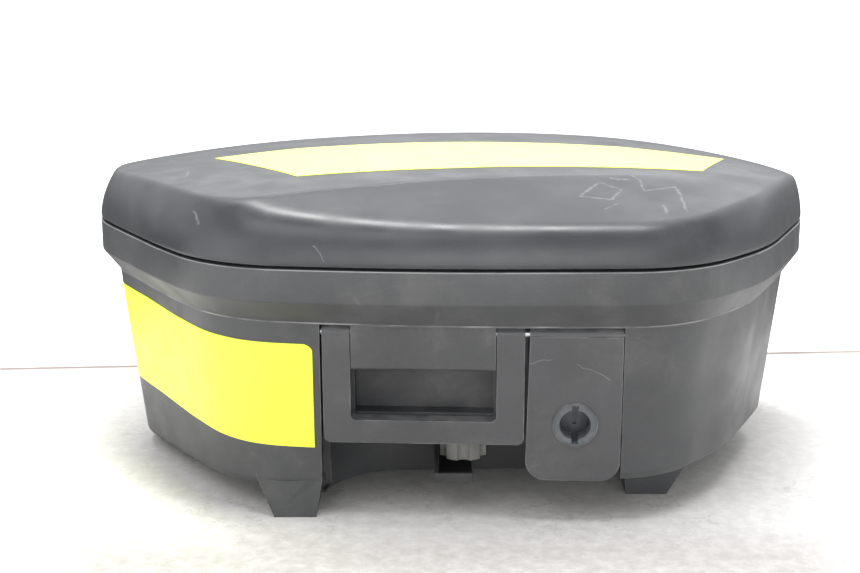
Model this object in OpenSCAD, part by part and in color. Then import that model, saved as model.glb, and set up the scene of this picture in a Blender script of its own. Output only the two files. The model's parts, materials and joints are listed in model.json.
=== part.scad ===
// Top case: hinged lid on a rounded tub, with a folding carry handle, a release
// flap, a lid latch and a screw-driven rack hook under the handle.
// Frame: +Z up, origin on the floor below the middle of the rim, -Y is the handle side.

/* [Case] */
// Width across the widest part of the rim
case_w = 550; // [520:5:580]
// Depth of the rim, front to back
case_d = 384; // [378:2:390]
// Height of the crown of the lid above the floor
crown_z = 239; // [234:1:244]
// Height of the top of the base rim
rim_z = 184; // [182:1:186]
// Thickness of the moulded walls
wall = 3.5; // [3:0.5:4.5]

/* [Base] */
// Height of the tub's lower edge, carried on to its middle
belly_z = 17.5; // [16:0.5:20]
// Height of the band that runs round the rim
band_h = 23; // [18:1:26]
// How far the band stands out from the walls
band_out = 12.5; // [11:0.5:14]
// Height of the chamfer below the band
chamfer_h = 17; // [12:1:20]
// Angle of the flanks and the rear from the vertical
draft = 7; // [6:0.5:8]
// Angle of the front wall from the vertical
front_draft = 3; // [2:0.5:4]

/* [Lid] */
// Gap between the lid and the base rim
lid_gap = 2; // [1.5:0.5:3]
// How far the lid's wall leans in at its top
lid_lean = 12; // [9:0.5:14]

/* [Handle and flap] */
// Width of the carry handle
handle_w = 138; // [130:1:139]
// Height of the carry handle
handle_h = 85.8; // [82:0.2:86]
// Width of each handle arm
arm_w = 19; // [16:1:20]
// Width of the release flap at its top
flap_w = 63; // [60:1:63]
// Height of the release flap
flap_h = 111; // [100:1:112]
// Radius of the hole for the lock barrel
lock_r = 10.7; // [9:0.1:11]

/* [Rack clamp] */
// Radius of the clamp knob
knob_r = 16.8; // [14:0.2:17.5]
// Number of flutes round the knob
flutes = 6; // [5:1:8]
// Width of the rack hook
hook_w = 27; // [22:1:28]

/* [Hidden] */

shell_grey = "#3a3c3f";
part_grey = "#303235";
steel = "#b9bcc0";
lemon = "#eef23c";
corner_steps = 6;          // facets of each rounded corner of the plan
bore_fn = 48;
gap = 0.15;                // clearance between parts that don't turn
turn = 0.06;               // radial clearance of parts that turn

// Corners of the plan of the rim, as x, y and corner radius, from the front left
// corner round through the front, the right flank, the rear and the left flank, for
// a case of plan_size
plan_size = [550, 384];
PLAN = [[-162.5, -176, 107], [-19, -192, 1000], [162.5, -189, 100], [225, -119, 200],
        [291.5, 30, 90], [141, 192, 60], [-139, 192, 60], [-293, 30, 90], [-209, -108, 200]];

function unit(v) = v / norm(v);
function vertex(i) = let (p = PLAN[i % len(PLAN)])
    [p.x * case_w / plan_size.x, p.y * case_d / plan_size.y];

// Points of one rounded corner, each with the angle of its outward normal
function corner(a, b, c, r) =
    let (u = unit(b - a), v = unit(c - b), t = atan2(cross(u, v), u * v),
         o = b - u * r * tan(t / 2) + [-u.y, u.x] * r, h = atan2(-u.x, u.y))
    [for (j = [0:corner_steps]) let (g = h + t * j / corner_steps)
        [o.x + r * cos(g), o.y + r * sin(g), g]];

RIM = [for (i = [0:len(PLAN) - 1])
    each corner(vertex(i + len(PLAN) - 1), vertex(i), vertex(i + 1), PLAN[i][2])];

// The rim's outline moved inward by d, at height z
function ring(d, z) = [for (p = RIM) [p.x - d * cos(p.z), p.y - d * sin(p.z), z]];

// Solid through rings of points, from the bottom up
module rings(rows) {
    n = len(rows[0]);
    m = len(rows);
    polyhedron(
        [for (q = rows) each q],
        concat([[for (j = [0:n - 1]) j]],
               [[for (j = [n - 1:-1:0]) (m - 1) * n + j]],
               [for (i = [0:m - 2], j = [0:n - 1]) let (k = (j + 1) % n)
                   [i * n + j, (i + 1) * n + j, (i + 1) * n + k, i * n + k]]));
}

// Solid through rings of the outline, given as inset and height
module loft(profile) {
    rings([for (q = profile) ring(q[0], q[1])]);
}

module box(a, b) {
    translate(a) cube(b - a);
}

// Rectangle with round corners, drawn with true arcs
module rounded(a, b, r) {
    for (dx = [r, b.x - a.x - r], dy = [r, b.y - a.y - r])
        translate(a + [dx, dy]) circle(r = r, $fn = bore_fn);
    translate(a + [r, 0]) square([b.x - a.x - 2 * r, b.y - a.y]);
    translate(a + [0, r]) square([b.x - a.x, b.y - a.y - 2 * r]);
}

// Points of an arc about o from the angle a0 to a1
function arc(o, r, a0, a1) = [for (k = [0:8]) let (a = a0 + (a1 - a0) * k / 8)
    o + r * [cos(a), sin(a)]];

module rod_x(x0, x1, r) {
    translate([x0, 0, 0]) rotate([0, 90, 0]) cylinder(h = x1 - x0, r = r, $fn = bore_fn);
}

module rod_y(y0, y1, r) {
    translate([0, y1, 0]) rotate([90, 0, 0]) cylinder(h = y1 - y0, r = r, $fn = bore_fn);
}

// Round wire wound about Z from the height 0 up
module coil(r, wire, rise, turns) {
    sides = 6;
    steps = 16;
    n = turns * steps;
    function at(i) = let (a = i * 360 / steps, c = [r * cos(a), r * sin(a), rise * i / steps])
        [for (k = [0:sides - 1]) let (b = k * 360 / sides)
            c + wire * (cos(b) * [cos(a), sin(a), 0] + sin(b) * [0, 0, 1])];
    polyhedron(
        [for (i = [0:n]) each at(i)],
        concat([[for (k = [0:sides - 1]) k]],
               [[for (k = [sides - 1:-1:0]) n * sides + k]],
               [for (i = [0:n - 1], k = [0:sides - 1]) let (l = (k + 1) % sides)
                   [i * sides + k, (i + 1) * sides + k, (i + 1) * sides + l, i * sides + l]]));
}

// Heights and insets of the tub
lid_z = rim_z + lid_gap;
band_z = rim_z - band_h;
wall_top_z = band_z - chamfer_h;
edge_h = 5;                                // height of the belly's chamfer
edge_in = 4;                               // inset of the belly's chamfer
tilt = [0.0375, -0.055];                    // slope of the lower edge along X and Y
twist = 0.025;                             // turn of the front wall against the rim
channel = [[-140, -60, -1], [140, 175, 26]];    // space for the rack under the tub
function belly_at(p) = belly_z + tilt.x * p.x + tilt.y * p.y;
// How far a point p of the rim faces the front, from 0 to 1
function facing(p) = pow(max(0, -sin(p.z)), 2);
// Insets of the wall from the rim's point p, at its top and at the height z
function wall_out(p) = band_out - twist * (p.x - 15) * facing(p);
function wall_in(p, z) = let (a = draft + (front_draft - draft) * facing(p))
    wall_out(p) + (wall_top_z - z) * tan(a);
lip_in = [8.5, 11.5];                      // insets of the upright lip inside the rim
lip_z = rim_z + 7;

// Recess in the front wall, in the wall's own plane: x runs along the wall, y goes in
// from its face and z is up the wall from the top of the recess
recess_z = wall_top_z - 1;
recess_y = -173.7;                         // face of the recess at the centre line
recess_turn = -2.95;                       // angle of the recess plane in plan
module on_wall() {
    translate([0, recess_y, recess_z]) rotate([0, 0, recess_turn]) rotate([front_draft, 0, 0])
        children();
}
// Plate in the wall's plane, from depth v0 to depth v1
module plate(v0, v1) {
    translate([0, v1, 0]) rotate([90, 0, 0]) linear_extrude(v1 - v0) children();
}

handle_x = -18;                            // middle of the carry handle
handle_l = handle_x - handle_w / 2;
handle_r = handle_x + handle_w / 2;
bay_l = handle_l - 1.4;                    // left side of the recess
divide_x = 51.6;                           // left side of the wall between the bays
divide_t = 1.6;
flap_x = 85.7;                             // middle of the flap and of the lock
flare = 2;                                 // extra width at the left of the flap's foot
bay_r = flap_x + flap_w / 2 + 0.6;
tray_wall = 2.4;
tray_depth = 27;
tray_front = 4;                            // set-back of the tray's edge from the wall
tray_h = 86.5;
flange_v = [4.8, 7.2];                     // depth of the tray's mounting flange
flange_w = 6;
screw_x = [bay_l - tray_wall - 3.2, bay_r + tray_wall + 3.2];
screw_w = [-62, -18];
handle_t = 11;                             // thickness of the handle
handle_v = 1;                              // set-back of the handle's face
pivot = [6.5, -6.8];                       // axis of handle and flap: depth and height
rod_r = 2.5;
roll_r = 5.5;                              // radius of the rolled tops round the rod
spring_r = 3.15;
spring_wire = 0.5;
cover_v = 12.8;
cover_w = [-32.6, -1];
pocket = [-67.3, -31];                     // bottom and top of the grip pocket
flap_t = 4;
lock_w = -69.4;                            // height of the lock's centre on the wall
collar_r = 15.4;
ring_r = 13.9;
ring_v = [-1.2, 12];
cam_r = 12.6;
cam_v = [12.6, 16.4];

// Space under the handle, with the rack clamp in it
cavity_z = 57.5;                           // its roof
cavity_y = -100;                           // its rear wall
cavity_x = [bay_l, bay_r];
knob_xy = [10.4, -126];
knob_z = [36, 49];
stud_r = 4;
stud_z = [40, 96];
bush_r = 6.9;
hook_x = 3.4;
hook_z = 24;                               // underside of the hook
hook_front = -155;
hook_t = 4;
shank_y = -108;
nut_z = [78, 90];
cover_x = [bay_l - 3, bay_r + 3];          // outside of the latch cover
cover_y = -100.5;
cover_top = 142;
boss_xy = [[-72, -125], [-50, -109], [111, -109], [111, -125]];
boss_r = 4;
cover_wall = 2.5;

// Lid latch on the shelf above the tray, in the wall's plane
shelf_v = 50;
shelf_w = 50;
bolt = [14, 6];                            // width and height of the bolt
bolt_w = 9.2;                              // underside of the bolt
bolt_v = [19, 36];
housing_v = [24, 49];
housing_w = 24;
ear_w = 38;
catch_y = [-170, -167];
catch_w = 30;
catch_z = 149;
catch_holes = [flap_x - 9, flap_x + 9];

// Rear hinges
hinge_x = [-70, 70];
hinge_w = 60;
hinge_y = 198.5;
hinge_z = rim_z + 3;
hinge_r = 5;
hinge_pin_r = 2.5;
knuckles = 5;
rear_y = max([for (p = RIM) p.y]);
leaf_lean = 15.5;                          // lean of the lid's hinge leaves
leaf_y = rear_y + 1.6;                     // back of those leaves at the lid's edge
leaf_h = [6, 22];                          // their foot and top, up the lean
leaf_hole = [18, 14];                      // screw holes, from the middle and up the lean
module on_leaf() {
    translate([0, leaf_y, lid_z]) rotate([leaf_lean, 0, 0]) children();
}
// Y and Z of a point v out from a leaf's back and h up the lean
function leaf_point(v, h) = [leaf_y + v * cos(leaf_lean) - h * sin(leaf_lean),
                             lid_z + v * sin(leaf_lean) + h * cos(leaf_lean)];

// Rack tongues under the rear
tongue_x = [-70, 70];
tongue_w = 34;
tongue_y = [112, 150];
tongue_z = [11, 15];

// Feet, each as opposite corners of its rectangle on the belly and of its ground face:
// front left, front right, left flank, right flank
FEET = [[[-132, -159.2], [-92, -112], [-123, -159.2], [-93, -120]],
        [[127, -118], [176, -66], [130, -114.5], [160, -76]],
        [[-236, 20], [-190, 84], [-238, 30], [-206, 78]],
        [[190, 20], [236, 84], [208, 42], [240, 78]]];
module tub_foot(top_a, top_b, low_a, low_b) {
    hull() {
        translate([0, 0, belly_at((top_a + top_b) / 2)]) box([each top_a, 0], [each top_b, 3]);
        box([each low_a, 0], [each low_b, 1]);
    }
}

// Ring of the wall at the height h above the belly, a further d inward
function low_ring(h, d) = [for (p = RIM)
    let (z = belly_at(p) + h, e = wall_in(p, z) + d)
    [p.x - e * cos(p.z), p.y - e * sin(p.z), z]];
// Ring at the top of the wall, d further inward
function top_ring(d) = [for (p = RIM) let (e = wall_out(p) + d)
    [p.x - e * cos(p.z), p.y - e * sin(p.z), wall_top_z]];

// Outside of the tub, with its band and belly chamfer, moved out by o
module tub_outside(o) {
    rings([low_ring(-o, edge_in - o), low_ring(edge_h, -o),
           top_ring(-o), ring(-o, band_z), ring(-o, rim_z - 1.5),
           ring(1.2 - o, rim_z)]);
}

module tub_inside() {
    difference() {
        rings([low_ring(wall, wall + 1.5), low_ring(edge_h + wall, wall),
               top_ring(wall), ring(wall, band_z), ring(wall, rim_z - 4)]);
        box([cavity_x[0] - wall, -300, 0], [cavity_x[1] + wall, cavity_y + wall, cavity_z + wall]);
        box(channel[0] - [wall, wall, 0], channel[1] + wall * [1, 1, 1]);
        on_wall() for (x = screw_x, w = screw_w)
            translate([x, 0, w]) rod_y(0, flange_v[0] - gap, 3.4);
    }
    loft([[lip_in[1], rim_z - 5], [lip_in[1], lip_z + 1]]);
}

module under_space() {
    bend = 55;
    translate([0, 0, -1]) linear_extrude(cavity_z + 1) difference() {
        translate([cavity_x[0], -300])
            square([cavity_x[1] - cavity_x[0], cavity_y + 300]);
        translate([cavity_x[0], cavity_y - bend]) difference() {
            translate([-1, 0]) square([bend + 1, bend + 1]);
            translate([bend, 0]) circle(r = bend, $fn = 64);
        }
    }
}

module base_shell() {
    color(shell_grey) resize([0, 0, 0]) difference() {
        union() {
            tub_outside(0);
            loft([[lip_in[0], rim_z - 2], [lip_in[0], lip_z]]);
            for (f = FEET) tub_foot(f[0], f[1], f[2], f[3]);
        }
        tub_inside();
        under_space();
        box(channel[0], channel[1]);
        on_wall() {
            box([bay_l, -30, -130], [bay_r, tray_front, 0]);
            box([bay_l - tray_wall - gap, tray_front - gap, -130],
                [bay_r + tray_wall + gap, tray_depth + 3, tray_wall + gap]);
            for (x = screw_x, w = screw_w)
                translate([x, 0, w]) rod_y(1.2, 20, 1.7);
        }
        translate([knob_xy.x, knob_xy.y, 0]) cylinder(h = 80, r = bush_r + gap, $fn = 48);
        box([hook_x - hook_w / 2 - 1, shank_y - 1, 40],
            [hook_x + hook_w / 2 + 1, shank_y + hook_t + 1, 80]);
        for (p = boss_xy) translate([p.x, p.y, 40]) cylinder(h = 30, r = 1.8, $fn = 24);
        for (x = tongue_x, p = tongue_holes()) translate([x + p.x, p.y, 0])
            cylinder(h = 60, r = 2.2, $fn = 24);
        for (x = hinge_x, s = [-1, 1]) translate([x + s * leaf_hole.x, 0, band_z + 9])
            rod_y(rear_y - 8, rear_y + 1, 1.8);
    }
}

module handle_tray() {
    pocket_x = [handle_l + arm_w + 2, handle_r - arm_w - 2];
    color(part_grey) on_wall() difference() {
        union() {
            box([bay_l - tray_wall, tray_front, -tray_h], [bay_r + tray_wall, tray_depth, tray_wall]);
            box([bay_l - tray_wall - flange_w, flange_v[0], -tray_h + 14],
                [bay_r + tray_wall + flange_w, flange_v[1], tray_wall + flange_w]);
            box([flap_x - shelf_w / 2, tray_front, 0], [flap_x + shelf_w / 2, shelf_v, tray_wall]);
        }
        // Bay of the handle, the grip pocket and the space behind the cover
        box([bay_l, -1, -tray_h - 1], [divide_x, cover_v + 0.4, 0]);
        box([divide_x - 1, -1, -tray_h - 1], [divide_x + divide_t + 1, cover_v - 3, 0]);
        box([pocket_x[0], 0, pocket[0]], [pocket_x[1], tray_depth - tray_wall, pocket[1]]);
        box([bay_l + 4, 0, cover_w[0] + 1], [divide_x - 4, tray_depth - tray_wall, -2]);
        // Hollow behind the handle's bar
        box([bay_l + 4, cover_v + 3, -tray_h - 1], [divide_x - 4, 60, pocket[0] - tray_wall]);
        // Bay of the flap
        box([divide_x + divide_t, -1, -tray_h - 1], [bay_r, tray_depth - tray_wall, 0]);
        // Seats of the rod
        translate([0, pivot[0], pivot[1]])
            rod_x(bay_l - tray_wall - 1, bay_r + tray_wall + 1, rod_r + 0.02);
        for (x = screw_x, w = screw_w) translate([x, 0, w]) rod_y(4, 12, 1.7);
        for (x = [-1, 1]) translate([flap_x + x * ear_hole_x(), 36, -1])
            cylinder(h = 6, r = 1.6, $fn = bore_fn);
    }
}
function ear_hole_x() = (housing_w + ear_w) / 4;

// Pan-head screw along +Z from the underside of its head
module screw(r, l) {
    cylinder(h = l, r = r, $fn = 24);
    translate([0, 0, -r * 1.1]) difference() {
        cylinder(h = r * 1.1, r = r * 1.9, $fn = 24);
        for (a = [0, 90]) rotate([0, 0, a])
            translate([-r, -r * 0.2, -1]) cube([2 * r, r * 0.4, 1 + r * 0.6]);
    }
}

module tray_screws() {
    color(steel) on_wall() for (x = screw_x, w = screw_w)
        translate([x, flange_v[1], w]) rotate([90, 0, 0]) screw(1.5, flange_v[1] - 2);
}

module cover_plate() {
    l = handle_l + arm_w + 0.6;
    r = handle_r - arm_w - 0.6;
    color(part_grey) on_wall() difference() {
        union() {
            box([l, 0.5 + 2.5, cover_w[0]], [r, cover_v, cover_w[1]]);
            box([l, 0.5, cover_w[0] + 2.5], [r, cover_v, cover_w[1]]);
            translate([0, 3, cover_w[0] + 2.5]) rod_x(l, r, 2.5);
        }
        box([l + 2.5, 2.6, cover_w[0] + 2.5], [r - 2.5, cover_v + 1, cover_w[1] - 2]);
        translate([0, pivot[0], pivot[1]]) rod_x(l - 1, r + 1, rod_r + 0.02);
    }
}

module carry_handle() {
    bar = 16.7;                            // height of the grip bar
    color(part_grey) on_wall() difference() {
        union() {
            plate(handle_v, handle_v + handle_t) difference() {
                rounded([handle_l, -handle_h], [handle_r, pivot[1] + 3], 5);
                rounded([handle_l + arm_w, -handle_h + bar], [handle_r - arm_w, 20], 4);
                for (x = [handle_l, handle_r]) translate([x - arm_w - 1, pivot[1]])
                    square([2 * arm_w + 2, 20]);
            }
            translate([0, pivot[0], pivot[1]]) {
                rod_x(handle_l, handle_l + arm_w, roll_r);
                rod_x(handle_r - arm_w, handle_r, roll_r);
            }
        }
        translate([0, pivot[0], pivot[1]]) rod_x(handle_l - 1, handle_r + 1, rod_r + turn);
    }
}

module pivot_rod() {
    color(steel) on_wall() translate([0, pivot[0], pivot[1]])
        rod_x(bay_l - tray_wall + 0.2, bay_r + tray_wall - 0.2, rod_r);
}

module handle_spring() {
    color(steel) on_wall() translate([handle_r - arm_w - 24, pivot[0], pivot[1]])
        rotate([0, 90, 0]) coil(spring_r, spring_wire, 1.6, 8);
}

module flap_spring() {
    color(steel) on_wall() translate([flap_x - 7, pivot[0], pivot[1]])
        rotate([0, 90, 0]) coil(spring_r, spring_wire, 1.6, 8);
}

module release_flap() {
    half = flap_w / 2;
    corner_r = 14;
    color(part_grey) on_wall() difference() {
        union() {
            plate(0, flap_t) polygon([
                [flap_x - half, pivot[1]],
                each arc([flap_x - half - flare + corner_r, -flap_h + corner_r], corner_r, 180, 270),
                each arc([flap_x + half - corner_r, -flap_h + corner_r], corner_r, 270, 360),
                [flap_x + half, pivot[1]]]);
            translate([0, pivot[0], pivot[1]]) rod_x(flap_x - half, flap_x + half, roll_r);
            // Side ribs behind the plate
            for (s = [-1, 1]) translate([flap_x + s * (half - 1.5) - 1.5, 2, -flap_h + 18])
                cube([3, 9, flap_h - 26]);
            translate([flap_x, 0, lock_w]) {
                rod_y(-1.4, 6, collar_r);
                rod_y(2, cam_v[1] + 0.4, collar_r + 0.8);
            }
        }
        // Room for the spring, open at the back
        translate([0, pivot[0], pivot[1]])
            rod_x(flap_x - 9, flap_x + 9, spring_r + spring_wire + 0.3);
        box([flap_x - 9, pivot[0], -11], [flap_x + 9, 20, pivot[1] + 3]);
        translate([0, pivot[0], pivot[1]]) rod_x(flap_x - half - 1, flap_x + half + 1, rod_r + turn);
        translate([flap_x, 0, lock_w]) {
            rod_y(-5, ring_v[1] + 0.1, ring_r + 0.05);
            rod_y(0, 30, cam_r + turn);
        }
    }
}

module lock_ring() {
    notch = [4.3, 3];                      // width and depth of the two key slots
    reach = lock_r + notch.y;
    color(steel) on_wall() translate([flap_x, 0, lock_w]) difference() {
        rod_y(ring_v[0], ring_v[1], ring_r);
        rod_y(-9, 30, lock_r);
        box([-notch.x / 2, -9, -reach], [notch.x / 2, 30, reach]);
    }
}

module lock_cam() {
    tongue = [23, 9, 3];                   // reach, width and thickness
    slot = [2.8, 2, 9];                    // slot for the tail of the barrel
    back = cam_v[1] + 0.6;
    color("#6c7a86") on_wall() translate([flap_x, 0, lock_w]) {
        difference() {
            rod_y(cam_v[0], back, cam_r);
            box([-slot.x / 2, 0, -slot.z / 2], [slot.x / 2, cam_v[0] + slot.y, slot.z / 2]);
        }
        box([-tongue.x, back - 0.01, -tongue.y / 2], [6, back + tongue.z, tongue.y / 2]);
    }
}

module latch_housing() {
    slot = [bolt.x + 0.3, bolt.y + 0.3];
    top = bolt_w + bolt.y + 3;
    color(part_grey) on_wall() translate([flap_x, 0, 0]) difference() {
        union() {
            box([-housing_w / 2, housing_v[0], tray_wall + gap], [housing_w / 2, housing_v[1], top]);
            box([-ear_w / 2, 30, tray_wall + gap], [ear_w / 2, 42, tray_wall + gap + 2.5]);
        }
        translate([-slot.x / 2, housing_v[0] - 1, bolt_w - 0.15])
            cube([slot.x, housing_v[1] - housing_v[0] - 1.5, slot.y]);
        for (s = [-1, 1]) translate([s * ear_hole_x(), 36, 0]) cylinder(h = 9, r = 1.6, $fn = bore_fn);
    }
}

module latch_bolt() {
    half = bolt.x / 2;
    nose = 2;
    color(steel) on_wall() translate([flap_x, 0, bolt_w]) difference() {
        linear_extrude(bolt.y) polygon([[-half, bolt_v[1]], [-half, bolt_v[0] + nose],
            [nose - half, bolt_v[0]], [half - nose, bolt_v[0]],
            [half, bolt_v[0] + nose], [half, bolt_v[1]]]);
        translate([0, 0, bolt.y / 2]) rod_y(bolt_v[1] - 4, bolt_v[1] + 1, 2.4);
    }
}

module latch_spring() {
    color(steel) on_wall() translate([flap_x, bolt_v[1] - 3.5, bolt_w + bolt.y / 2])
        rotate([-90, 0, 0]) coil(1.7, 0.35, 1.55, 8);
}

module latch_screws() {
    color(steel) on_wall() for (s = [-1, 1])
        translate([flap_x + s * ear_hole_x(), 36, tray_wall + gap + 2.5])
            rotate([180, 0, 0]) screw(1.5, 4.8);
}

module latch_cover() {
    foot_z = cavity_z + wall + gap;
    front_y = [-131, -141];                // front edge at the foot and at the top
    color(part_grey) difference() {
        union() {
            difference() {
                side(cover_x[0], cover_x[1]) polygon([[front_y[0], foot_z], [cover_y, foot_z],
                    [cover_y, cover_top], [front_y[1], cover_top]]);
                box([cover_x[0] + cover_wall, front_y[1] - 9, 0],
                    [cover_x[1] - cover_wall, cover_y - cover_wall, cover_top - cover_wall]);
            }
            for (p = boss_xy) {
                translate([p.x, p.y, foot_z]) cylinder(h = 14, r = boss_r, $fn = bore_fn);
                box([p.x - 1.5, p.y, foot_z], [p.x + 1.5, cover_y - 1, foot_z + 14]);
            }
        }
        for (p = boss_xy) translate([p.x, p.y, 0]) cylinder(h = 72, r = 1.52, $fn = bore_fn);
    }
}
// Outline in Y and Z, drawn from x0 to x1
module side(x0, x1) {
    translate([x0, 0, 0]) rotate([90, 0, 90]) linear_extrude(x1 - x0) children();
}

module cover_screws() {
    color(steel) for (p = boss_xy) translate([p.x, p.y, cavity_z - gap]) screw(1.5, 12);
}

// Surfaces of the lid: a crowned panel, a twisted front facet and a rear facet
crown_bend = 2.72e-4;
crown_xy = [1, 10];
function crown_at(r2) = crown_z - crown_bend * r2;
front_c = -178;
front_low = crown_z - 24.5;
rear_c = 180;
function front_rise(x) = 0.352 - 0.0012 * x;
function rear_rise(x) = 0.14 - (x > 0 ? 1.2e-6 : 0.6e-6) * x * x;
function rear_low(x) = crown_z - 8.1 - (x > 30 ? 3.9e-4 : 2.6e-4) * pow(x - 30, 2)
                       - (rear_c - 140) * rear_rise(x);
// Inset of the lid's wall at height z on the side x; the right flank leans less
lid_top_z = 220;
function lid_in(x, z) = let (t = (z - lid_z) / (lid_top_z - lid_z), k = max(0, x / case_w * 2))
    lid_lean * (1 - 0.4 * k * k) * pow(t, 1.8);
function lid_ring(t, z) = [for (p = RIM) let (e = lid_in(p.x, z) + t)
    [p.x - e * cos(p.z), p.y - e * sin(p.z), z]];

module crown() {
    r = 330;
    steps = 15;
    translate([crown_xy.x, crown_xy.y, 0]) rotate_extrude($fn = 64)
        polygon([[0, 100], [r, 100], for (i = [steps:-1:0]) let (q = r * i / steps) [q, crown_at(q * q)]]);
}

// Solid below a facet that meets the lid's edge on the line y0 and rises towards
// y1; slices holds its X, its height on y0 and its slope
module below(y0, y1, slices) {
    n = len(slices);
    low = 60;                              // how far the facet runs on outside the edge
    s = sign(y1 - y0);
    rows = [for (q = slices)
        [[q[0], y0 - s * low, q[1] - q[2] * low], [q[0], y1, q[1] + q[2] * abs(y1 - y0)],
         [q[0], y1, 100], [q[0], y0 - s * low, 100]]];
    quad = s > 0 ? [3, 2, 1, 0] : [0, 1, 2, 3];
    polyhedron([for (q = rows) each q],
        concat([quad], [[for (k = [3:-1:0]) (n - 1) * 4 + quad[k]]],
               [for (i = [0:n - 2], k = [0:3]) let (a = quad[k], b = quad[(k + 1) % 4])
                   [i * 4 + a, (i + 1) * 4 + a, (i + 1) * 4 + b, i * 4 + b]]));
}

// Outside of the lid, or with t the same shape t thinner
module lid_solid(t) {
    levels = [lid_z, 194, 202, 209, 215, 221, 228, 240];
    xs = [-300:50:300];
    intersection() {
        rings([for (z = levels) lid_ring(t, z)]);
        translate([0, 0, -t]) crown();
        translate([0, 0, -t])
            below(front_c, front_c + 400, [for (x = xs) [x, front_low, front_rise(x)]]);
        translate([0, 0, -t])
            below(rear_c, rear_c - 400, [for (x = xs) [x, rear_low(x), rear_rise(x)]]);
    }
}

seal_z = [lip_z + 0.1, lip_z + 5.9];
module lid_shell() {
    lid_t = 3;
    web = [seal_z[1] + 0.1, seal_z[1] + 2.6];
    color(shell_grey) resize([0, 0, 0]) difference() {
        union() {
            difference() {
                lid_solid(0);
                lid_solid(lid_t);
                loft([[lid_t, lid_z - 1], [lid_t, lid_z]]);
            }
            // Pads under the hinge leaves
            intersection() {
                for (x = hinge_x) on_leaf() translate([x, 0, 0])
                    box([-hinge_w / 2 - 3, -6, leaf_h[0] - 3], [hinge_w / 2 + 3, 0, leaf_h[1] + 2]);
                loft([[-4, lid_z + 1], [-4, 230]]);
            }
            // Web that holds the seal, with a pad for the catch
            difference() {
                loft([[3.5, web[0]], [3.5, web[1]]]);
                loft([[15, web[0] - 1], [15, web[1] + 1]]);
            }
            box([flap_x - 26, catch_y[0] - 8, web[0]], [flap_x + 26, catch_y[1] + 20, web[1]]);
        }
        for (x = hinge_x, s = [-1, 1]) on_leaf()
            translate([x + s * leaf_hole.x, 0, leaf_hole.y]) rod_y(-12, 4, 1.8);
        for (x = catch_holes) translate([x, catch_y[1] + 9, web[0] - 1])
            cylinder(h = 9, r = 1.7, $fn = 24);
    }
}

module lid_seal() {
    color("#151515") resize([0, 0, 0]) difference() {
        loft([[8.3, seal_z[0]], [8.3, seal_z[1]]]);
        loft([[12.3, seal_z[0] - 1], [12.3, seal_z[1] + 1]]);
    }
}

module lid_catch() {
    top = seal_z[1];
    color(part_grey) difference() {
        side(flap_x - catch_w / 2, flap_x + catch_w / 2) polygon([
            [catch_y[0], catch_z], [catch_y[0] + 9, catch_z], [catch_y[0] + 9, catch_z + 2.6],
            [catch_y[1], catch_z + 2.6], [catch_y[1], top - 3], [catch_y[1] + 16, top - 3],
            [catch_y[1] + 16, top], [catch_y[0], top]]);
        for (x = catch_holes) translate([x, catch_y[1] + 9, top - 5])
            cylinder(h = 9, r = 1.6, $fn = bore_fn);
    }
}

module catch_screws() {
    color(steel) for (x = catch_holes) translate([x, catch_y[1] + 9, seal_z[1] - 3 - gap])
        screw(1.5, 5.4);
}

// Knuckles of one hinge; odd picks the lid's or the base's
module hinge_knuckles(odd) {
    step = hinge_w / knuckles;
    for (i = [0:knuckles - 1]) if (i % 2 == odd)
        translate([-hinge_w / 2 + i * step + gap, hinge_y, hinge_z])
            rod_x(0, step - 2 * gap, hinge_r);
}

module hinge_base_leaves() {
    step = hinge_w / knuckles;
    color(steel) for (x = hinge_x) translate([x, 0, 0]) difference() {
        union() {
            hinge_knuckles(0);
            box([-hinge_w / 2, rear_y + gap, band_z + 2], [hinge_w / 2, rear_y + 2.6, rim_z - 3.5]);
            for (i = [0:2:knuckles - 1])
                box([-hinge_w / 2 + i * step + gap, rear_y + gap, rim_z - 6],
                    [-hinge_w / 2 + (i + 1) * step - gap, hinge_y, hinge_z - 1]);
        }
        translate([0, hinge_y, hinge_z]) rod_x(-40, 40, hinge_pin_r + 0.02);
        for (s = [-1, 1]) translate([s * leaf_hole.x, 0, band_z + 9]) rod_y(180, 210, 1.8);
    }
}

module hinge_lid_leaves() {
    step = hinge_w / knuckles;
    color(steel) for (x = hinge_x) translate([x, 0, 0]) difference() {
        union() {
            hinge_knuckles(1);
            on_leaf() box([-hinge_w / 2, 0.1, leaf_h[0]], [hinge_w / 2, 2.4, leaf_h[1]]);
            for (i = [1:2:knuckles - 1])
                side(-hinge_w / 2 + i * step + gap, -hinge_w / 2 + (i + 1) * step - gap)
                    polygon([leaf_point(0.6, 8), leaf_point(0.6, 2), [hinge_y, hinge_z + 0.6],
                             [hinge_y, hinge_z + 4], leaf_point(1.5, 9)]);
        }
        translate([0, hinge_y, hinge_z]) rod_x(-40, 40, hinge_pin_r + turn);
        for (s = [-1, 1]) on_leaf() translate([s * leaf_hole.x, 0, leaf_hole.y]) rod_y(-9, 9, 1.8);
    }
}

module hinge_pins() {
    color(steel) for (x = hinge_x) translate([x, hinge_y, hinge_z])
        rod_x(-hinge_w / 2 - 0.5, hinge_w / 2 + 0.5, hinge_pin_r);
}

module hinge_base_screws() {
    color(steel) for (x = hinge_x, s = [-1, 1])
        translate([x + s * leaf_hole.x, rear_y + 2.7, band_z + 9]) rotate([90, 0, 0]) screw(1.6, 5.5);
}

module hinge_lid_screws() {
    color(steel) for (x = hinge_x, s = [-1, 1]) on_leaf()
        translate([x + s * leaf_hole.x, 2.5, leaf_hole.y]) rotate([90, 0, 0]) screw(1.6, 7);
}

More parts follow.
